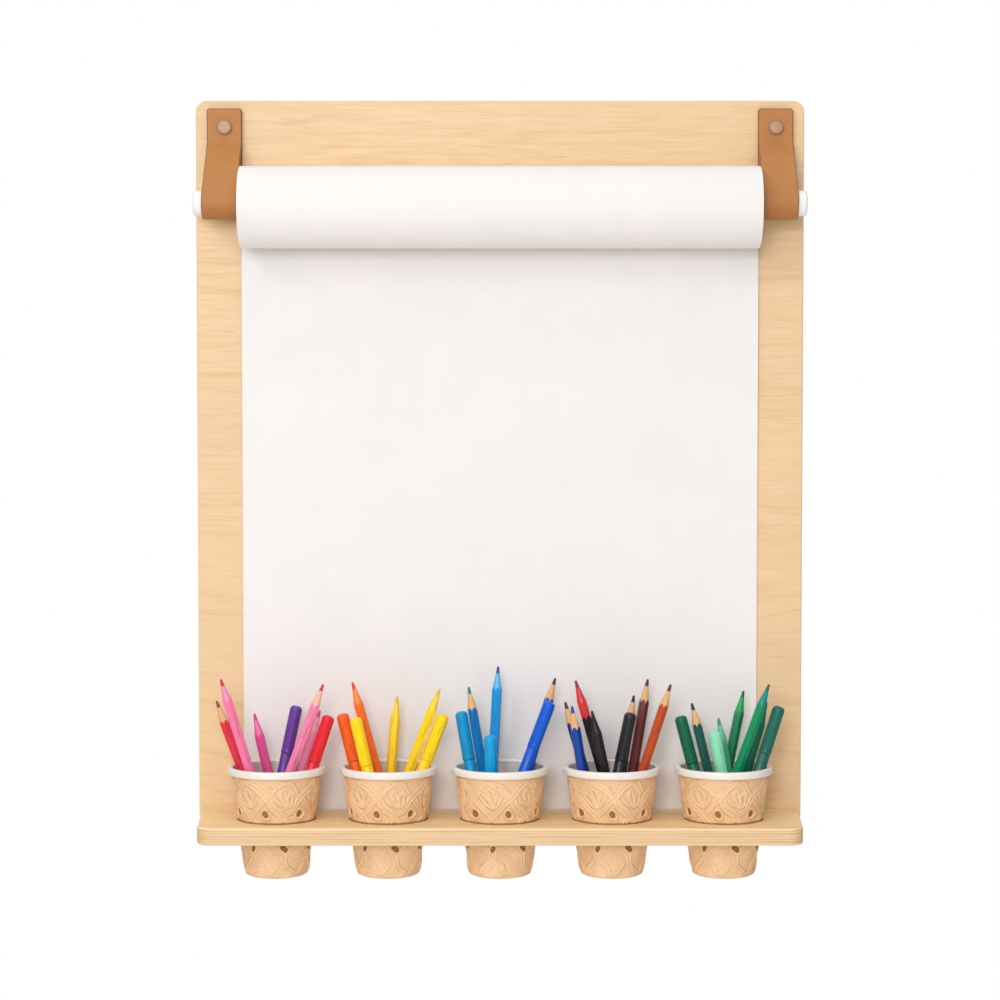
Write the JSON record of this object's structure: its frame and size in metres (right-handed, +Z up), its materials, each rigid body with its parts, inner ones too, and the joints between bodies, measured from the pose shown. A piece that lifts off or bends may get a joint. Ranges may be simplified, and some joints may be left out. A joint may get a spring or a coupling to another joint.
{
  "type": "wall-hung drawing easel",
  "caption": "Wall-hung children's easel: plywood board, paper roll on a dowel in leather straps, and a shelf of cups that hold coloured pencils and markers.",
  "frame": {"origin": "centre of the board's back face, which lies against the wall", "axes": "+Y points into the wall, so the front faces -Y; +X is to the right of whoever draws on it; +Z is up"},
  "size_m": [0.529, 0.1183, 0.667],
  "materials": {
    "maple_plywood": "clear matt lacquer over fine maple grain",
    "embossed_clay": "matt tan body with an embossed lattice, cream glazed rim",
    "white_painted_wood": "cream white satin paint",
    "zinc_plated_steel": "zinc plated",
    "charcoal_paint": "moulded marker",
    "cobalt_paint": "moulded marker",
    "cyan_paint": "moulded marker",
    "forest_paint": "moulded marker",
    "gold_paint": "moulded marker",
    "lemon_paint": "moulded marker",
    "mint_paint": "moulded marker",
    "orange_paint": "moulded marker",
    "purple_paint": "moulded marker",
    "scarlet_paint": "moulded marker",
    "sea_paint": "moulded marker",
    "teal_paint": "moulded marker",
    "drawing_paper": "matt off-white",
    "amber_paint": "painted pencil",
    "azure_paint": "painted pencil",
    "black_paint": "painted pencil",
    "blush_paint": "painted pencil",
    "bottle_paint": "painted pencil",
    "brown_paint": "painted pencil",
    "ebony_paint": "painted pencil",
    "emerald_paint": "painted pencil",
    "graphite_paint": "painted pencil",
    "green_paint": "painted pencil",
    "indigo_paint": "painted pencil",
    "jade_paint": "painted pencil",
    "magenta_paint": "painted pencil",
    "navy_paint": "painted pencil",
    "pine_paint": "painted pencil",
    "pink_paint": "painted pencil",
    "red_paint": "painted pencil",
    "rose_paint": "painted pencil",
    "royal_paint": "painted pencil",
    "rust_paint": "painted pencil",
    "sky_paint": "painted pencil",
    "tangerine_paint": "painted pencil",
    "yellow_paint": "painted pencil",
    "cardboard": "grey-brown spiral-wound board",
    "tan_leather": "vegetable-tanned, burnished edges",
    "brushed_copper": "brushed copper-coloured stud"
  },
  "bodies": {
    "root": {"back_board": "maple_plywood", "hanger_plate_left": "zinc_plated_steel", "hanger_plate_right": "zinc_plated_steel", "hanger_screw_left_lower": "zinc_plated_steel", "hanger_screw_left_upper": "zinc_plated_steel", "hanger_screw_right_lower": "zinc_plated_steel", "hanger_screw_right_upper": "zinc_plated_steel", "paper_sheet": "drawing_paper", "shelf": "maple_plywood", "shelf_screw_left": "zinc_plated_steel", "shelf_screw_right": "zinc_plated_steel", "strap_left": "tan_leather", "strap_nut_left": "zinc_plated_steel", "strap_nut_right": "zinc_plated_steel", "strap_right": "tan_leather", "strap_stud_left": "brushed_copper", "strap_stud_right": "brushed_copper"},
    "dowel": {"dowel": "white_painted_wood"},
    "roll": {"roll_core": "cardboard", "paper_roll": "drawing_paper"},
    "cup_1": {"cup_1": "embossed_clay"},
    "cup_2": {"cup_2": "embossed_clay"},
    "cup_3": {"cup_3": "embossed_clay"},
    "cup_4": {"cup_4": "embossed_clay"},
    "cup_5": {"cup_5": "embossed_clay"},
    "pencil_red": {"pencil_red": "red_paint"},
    "pencil_magenta": {"pencil_magenta": "magenta_paint"},
    "pencil_rose": {"pencil_rose": "rose_paint"},
    "pencil_pink": {"pencil_pink": "pink_paint"},
    "marker_scarlet": {"marker_scarlet": "scarlet_paint"},
    "marker_purple": {"marker_purple": "purple_paint"},
    "pencil_blush": {"pencil_blush": "blush_paint"},
    "marker_orange": {"marker_orange": "orange_paint"},
    "pencil_tangerine": {"pencil_tangerine": "tangerine_paint"},
    "marker_lemon": {"marker_lemon": "lemon_paint"},
    "pencil_yellow": {"pencil_yellow": "yellow_paint"},
    "pencil_amber": {"pencil_amber": "amber_paint"},
    "marker_gold": {"marker_gold": "gold_paint"},
    "marker_teal": {"marker_teal": "teal_paint"},
    "pencil_azure": {"pencil_azure": "azure_paint"},
    "marker_cyan": {"marker_cyan": "cyan_paint"},
    "pencil_sky": {"pencil_sky": "sky_paint"},
    "marker_cobalt": {"marker_cobalt": "cobalt_paint"},
    "pencil_royal": {"pencil_royal": "royal_paint"},
    "pencil_navy": {"pencil_navy": "navy_paint"},
    "pencil_black": {"pencil_black": "black_paint"},
    "pencil_indigo": {"pencil_indigo": "indigo_paint"},
    "pencil_ebony": {"pencil_ebony": "ebony_paint"},
    "marker_charcoal": {"marker_charcoal": "charcoal_paint"},
    "pencil_rust": {"pencil_rust": "rust_paint"},
    "pencil_graphite": {"pencil_graphite": "graphite_paint"},
    "pencil_brown": {"pencil_brown": "brown_paint"},
    "marker_forest": {"marker_forest": "forest_paint"},
    "pencil_pine": {"pencil_pine": "pine_paint"},
    "pencil_jade": {"pencil_jade": "jade_paint"},
    "marker_mint": {"marker_mint": "mint_paint"},
    "pencil_emerald": {"pencil_emerald": "emerald_paint"},
    "marker_sea": {"marker_sea": "sea_paint"},
    "pencil_green": {"pencil_green": "green_paint"},
    "pencil_bottle": {"pencil_bottle": "bottle_paint"}
  },
  "joints": [
    {"name": "dowel_slide", "type": "slide", "parent": "root", "child": "dowel", "axis": [1, 0, 0], "range_m": [0, 0.56]},
    {"name": "paper_roll_spin", "type": "hinge", "parent": "root", "child": "roll", "pos_m": [0, -0.056, 0.2218], "axis": [1, 0, 0], "continuous": true},
    {"name": "cup_1_lift", "type": "slide", "parent": "root", "child": "cup_1", "axis": [0, 0, 1], "range_m": [0, 0.07]},
    {"name": "cup_2_lift", "type": "slide", "parent": "root", "child": "cup_2", "axis": [0, 0, 1], "range_m": [0, 0.07]},
    {"name": "cup_3_lift", "type": "slide", "parent": "root", "child": "cup_3", "axis": [0, 0, 1], "range_m": [0, 0.07]},
    {"name": "cup_4_lift", "type": "slide", "parent": "root", "child": "cup_4", "axis": [0, 0, 1], "range_m": [0, 0.07]},
    {"name": "cup_5_lift", "type": "slide", "parent": "root", "child": "cup_5", "axis": [0, 0, 1], "range_m": [0, 0.07]},
    {"name": "pencil_red_draw", "type": "slide", "parent": "cup_1", "child": "pencil_red", "axis": [-0.346, 0.0144, 0.9381], "range_m": [0, 0.09]},
    {"name": "pencil_magenta_draw", "type": "slide", "parent": "cup_1", "child": "pencil_magenta", "axis": [-0.2248, 0.0149, 0.9743], "range_m": [0, 0.09]},
    {"name": "pencil_rose_draw", "type": "slide", "parent": "cup_1", "child": "pencil_rose", "axis": [-0.2903, -0.0436, 0.9559], "range_m": [0, 0.09]},
    {"name": "pencil_pink_draw", "type": "slide", "parent": "cup_1", "child": "pencil_pink", "axis": [0.3559, -0.0143, 0.9344], "range_m": [0, 0.09]},
    {"name": "marker_scarlet_draw", "type": "slide", "parent": "cup_1", "child": "marker_scarlet", "axis": [0.314, -0.0145, 0.9493], "range_m": [0, 0.09]},
    {"name": "marker_purple_draw", "type": "slide", "parent": "cup_1", "child": "marker_purple", "axis": [0.207, 0.0446, 0.9773], "range_m": [0, 0.09]},
    {"name": "pencil_blush_draw", "type": "slide", "parent": "cup_1", "child": "pencil_blush", "axis": [0.283, 0.0437, 0.9581], "range_m": [0, 0.09]},
    {"name": "marker_orange_draw", "type": "slide", "parent": "cup_2", "child": "marker_orange", "axis": [-0.2418, 0.0149, 0.9702], "range_m": [0, 0.09]},
    {"name": "pencil_tangerine_draw", "type": "slide", "parent": "cup_2", "child": "pencil_tangerine", "axis": [-0.2698, 0.0147, 0.9628], "range_m": [0, 0.09]},
    {"name": "marker_lemon_draw", "type": "slide", "parent": "cup_2", "child": "marker_lemon", "axis": [-0.2225, -0.0444, 0.9739], "range_m": [0, 0.09]},
    {"name": "pencil_yellow_draw", "type": "slide", "parent": "cup_2", "child": "pencil_yellow", "axis": [0.0822, 0.0454, 0.9956], "range_m": [0, 0.09]},
    {"name": "pencil_amber_draw", "type": "slide", "parent": "cup_2", "child": "pencil_amber", "axis": [0.3496, -0.0143, 0.9368], "range_m": [0, 0.09]},
    {"name": "marker_gold_draw", "type": "slide", "parent": "cup_2", "child": "marker_gold", "axis": [0.3566, -0.0143, 0.9342], "range_m": [0, 0.09]},
    {"name": "marker_teal_draw", "type": "slide", "parent": "cup_3", "child": "marker_teal", "axis": [-0.168, 0.0151, 0.9857], "range_m": [0, 0.09]},
    {"name": "pencil_azure_draw", "type": "slide", "parent": "cup_3", "child": "pencil_azure", "axis": [-0.1675, 0.0151, 0.9858], "range_m": [0, 0.09]},
    {"name": "marker_cyan_draw", "type": "slide", "parent": "cup_3", "child": "marker_cyan", "axis": [-0.0174, -0.0456, 0.9988], "range_m": [0, 0.09]},
    {"name": "pencil_sky_draw", "type": "slide", "parent": "cup_3", "child": "pencil_sky", "axis": [0.0502, 0.0455, 0.9977], "range_m": [0, 0.09]},
    {"name": "marker_cobalt_draw", "type": "slide", "parent": "cup_3", "child": "marker_cobalt", "axis": [0.3479, -0.0144, 0.9374], "range_m": [0, 0.09]},
    {"name": "pencil_royal_draw", "type": "slide", "parent": "cup_3", "child": "pencil_royal", "axis": [0.286, 0.0437, 0.9572], "range_m": [0, 0.09]},
    {"name": "pencil_navy_draw", "type": "slide", "parent": "cup_4", "child": "pencil_navy", "axis": [-0.2747, 0.0147, 0.9614], "range_m": [0, 0.09]},
    {"name": "pencil_black_draw", "type": "slide", "parent": "cup_4", "child": "pencil_black", "axis": [-0.2785, 0.0147, 0.9603], "range_m": [0, 0.09]},
    {"name": "pencil_indigo_draw", "type": "slide", "parent": "cup_4", "child": "pencil_indigo", "axis": [-0.1578, -0.045, 0.9864], "range_m": [0, 0.09]},
    {"name": "pencil_ebony_draw", "type": "slide", "parent": "cup_4", "child": "pencil_ebony", "axis": [-0.2083, -0.0446, 0.977], "range_m": [0, 0.09]},
    {"name": "marker_charcoal_draw", "type": "slide", "parent": "cup_4", "child": "marker_charcoal", "axis": [0.1995, -0.015, 0.9798], "range_m": [0, 0.09]},
    {"name": "pencil_rust_draw", "type": "slide", "parent": "cup_4", "child": "pencil_rust", "axis": [0.3034, -0.0146, 0.9527], "range_m": [0, 0.09]},
    {"name": "pencil_graphite_draw", "type": "slide", "parent": "cup_4", "child": "pencil_graphite", "axis": [0.1642, 0.045, 0.9854], "range_m": [0, 0.09]},
    {"name": "pencil_brown_draw", "type": "slide", "parent": "cup_4", "child": "pencil_brown", "axis": [0.1622, 0.045, 0.9857], "range_m": [0, 0.09]},
    {"name": "marker_forest_draw", "type": "slide", "parent": "cup_5", "child": "marker_forest", "axis": [-0.2496, 0.0148, 0.9682], "range_m": [0, 0.09]},
    {"name": "pencil_pine_draw", "type": "slide", "parent": "cup_5", "child": "pencil_pine", "axis": [-0.2376, 0.0149, 0.9713], "range_m": [0, 0.09]},
    {"name": "pencil_jade_draw", "type": "slide", "parent": "cup_5", "child": "pencil_jade", "axis": [-0.172, 0.0151, 0.985], "range_m": [0, 0.09]},
    {"name": "marker_mint_draw", "type": "slide", "parent": "cup_5", "child": "marker_mint", "axis": [-0.1831, -0.0448, 0.9821], "range_m": [0, 0.09]},
    {"name": "pencil_emerald_draw", "type": "slide", "parent": "cup_5", "child": "pencil_emerald", "axis": [0.3333, -0.0144, 0.9427], "range_m": [0, 0.09]},
    {"name": "marker_sea_draw", "type": "slide", "parent": "cup_5", "child": "marker_sea", "axis": [0.2975, -0.0146, 0.9546], "range_m": [0, 0.09]},
    {"name": "pencil_green_draw", "type": "slide", "parent": "cup_5", "child": "pencil_green", "axis": [0.2016, 0.0446, 0.9784], "range_m": [0, 0.09]},
    {"name": "pencil_bottle_draw", "type": "slide", "parent": "cup_5", "child": "pencil_bottle", "axis": [0.2813, 0.0437, 0.9586], "range_m": [0, 0.09]}
  ]
}
